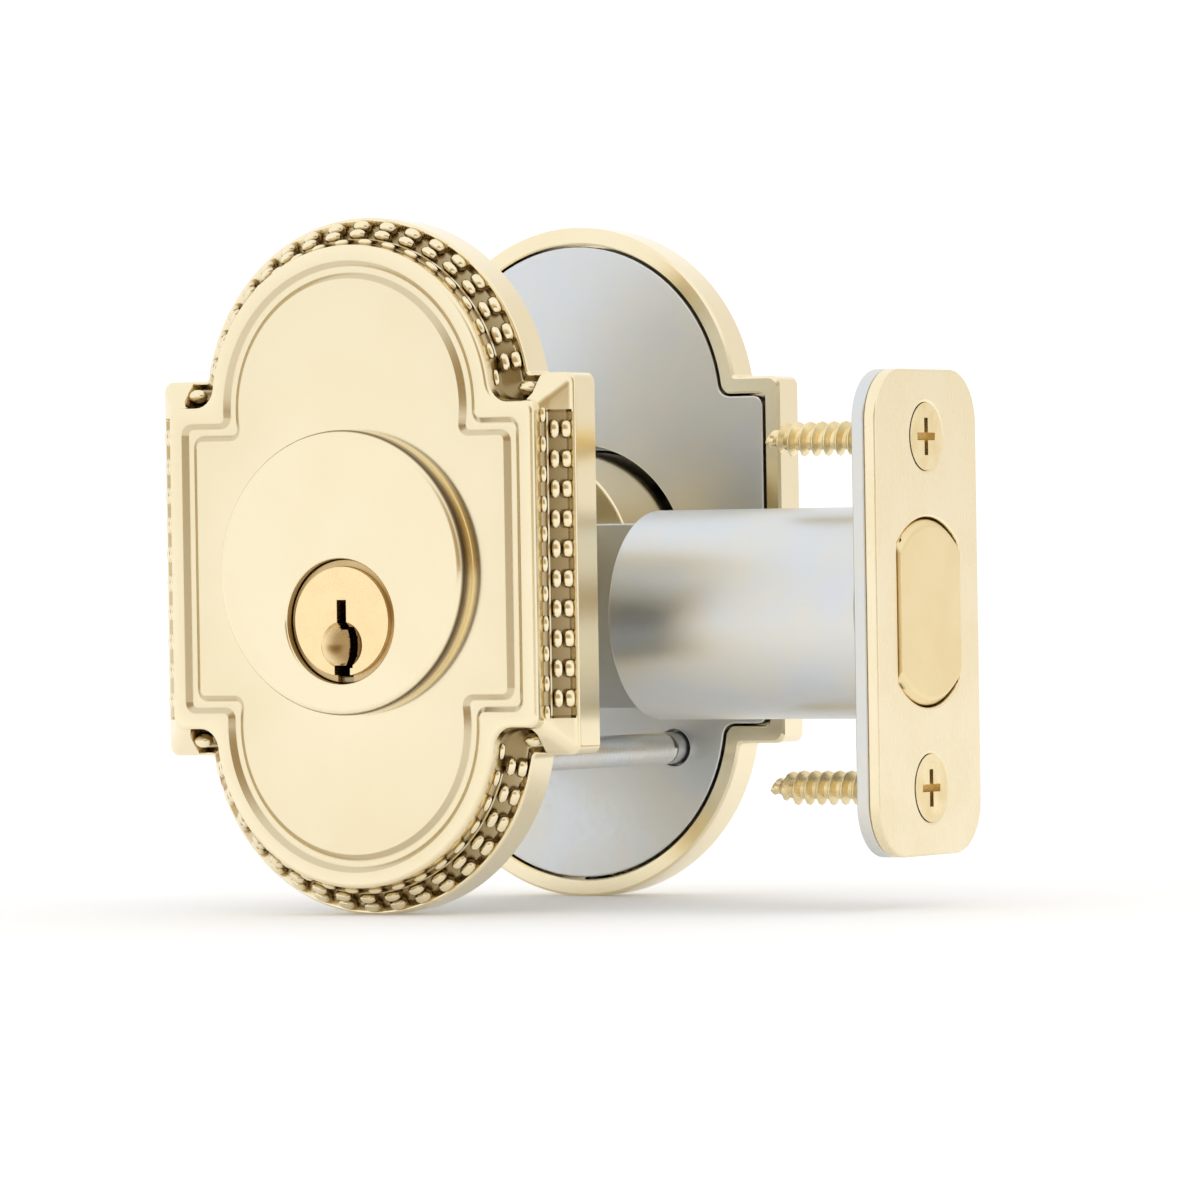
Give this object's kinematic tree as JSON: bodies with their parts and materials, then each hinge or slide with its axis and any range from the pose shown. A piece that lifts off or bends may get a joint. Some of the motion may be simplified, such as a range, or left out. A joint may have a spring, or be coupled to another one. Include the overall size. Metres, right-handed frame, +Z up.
{
  "type": "deadbolt door lock",
  "caption": "Double-cylinder tubular deadbolt with lobed, beaded brass escutcheons on both faces, round barrel, crank-driven sliding bolt and rectangular faceplate.",
  "frame": {"origin": "where the plug and hub axis crosses the middle plane of the door", "axes": "+X towards the door's edge and the bolt's tip, -Y out of the outside face of the door, +Z up"},
  "size_m": [0.0891, 0.068, 0.0824],
  "materials": {
    "polished_brass": "bright polished and lacquered",
    "plug_brass": "satin turned",
    "raw_brass": "as machined",
    "bolt_brass": "brushed along its length",
    "zinc_steel": "bright zinc plated",
    "steel": "ground",
    "spring_steel": "drawn wire",
    "brass_screw": "brass plated",
    "nylon": "moulded"
  },
  "bodies": {
    "lock_body": {"outside_escutcheon": "polished_brass", "outside_cylinder": "polished_brass", "outside_driver_pins": "steel", "outside_pin_springs": "spring_steel", "outside_chamber_cover": "raw_brass", "outside_ring_nut": "zinc_steel", "mounting_plate": "zinc_steel", "mounting_posts": "zinc_steel", "inside_escutcheon": "polished_brass", "inside_cylinder": "polished_brass", "inside_driver_pins": "steel", "inside_pin_springs": "spring_steel", "inside_chamber_cover": "raw_brass", "inside_ring_nut": "zinc_steel", "base_plate": "zinc_steel", "set_screw": "steel", "through_bolts": "zinc_steel", "faceplate": "polished_brass", "faceplate_screws": "brass_screw", "back_plate": "zinc_steel", "barrel": "zinc_steel", "hub_bushes": "nylon", "case_channel": "zinc_steel", "case_cover": "zinc_steel", "case_rivets": "steel"},
    "outside_plug": {"outside_plug": "plug_brass", "outside_key_pins": "raw_brass", "outside_plug_cap": "raw_brass", "outside_cap_pin": "steel"},
    "hub": {"hub": "zinc_steel", "crank_pin": "steel", "outside_tailpiece": "zinc_steel", "inside_tailpiece": "zinc_steel"},
    "bolt": {"bolt": "bolt_brass", "bolt_rod": "steel", "bolt_slide": "zinc_steel", "slide_pins": "steel"},
    "inside_plug": {"inside_plug": "plug_brass", "inside_key_pins": "raw_brass", "inside_plug_cap": "raw_brass", "inside_cap_pin": "steel"}
  },
  "joints": [
    {"name": "bolt_throw", "type": "slide", "parent": "lock_body", "child": "bolt", "axis": [1, 0, 0], "range_m": [0, 0.0254]},
    {"name": "hub_turn", "type": "hinge", "parent": "lock_body", "child": "hub", "pos_m": [0, 0, 0], "axis": [0, 1, 0], "range_deg": [0, 90]},
    {"name": "outside_plug_turn", "type": "hinge", "parent": "lock_body", "child": "outside_plug", "pos_m": [0, 0, 0], "axis": [0, 1, 0], "range_deg": [0, 90]},
    {"name": "inside_plug_turn", "type": "hinge", "parent": "lock_body", "child": "inside_plug", "pos_m": [0, 0, 0], "axis": [0, -1, 0], "range_deg": [0, 90]}
  ],
  "couplings": [
    {"joint": "hub_turn", "follows": "bolt_throw", "rad_per_m": 61.842},
    {"joint": "outside_plug_turn", "follows": "bolt_throw", "rad_per_m": 61.842}
  ]
}
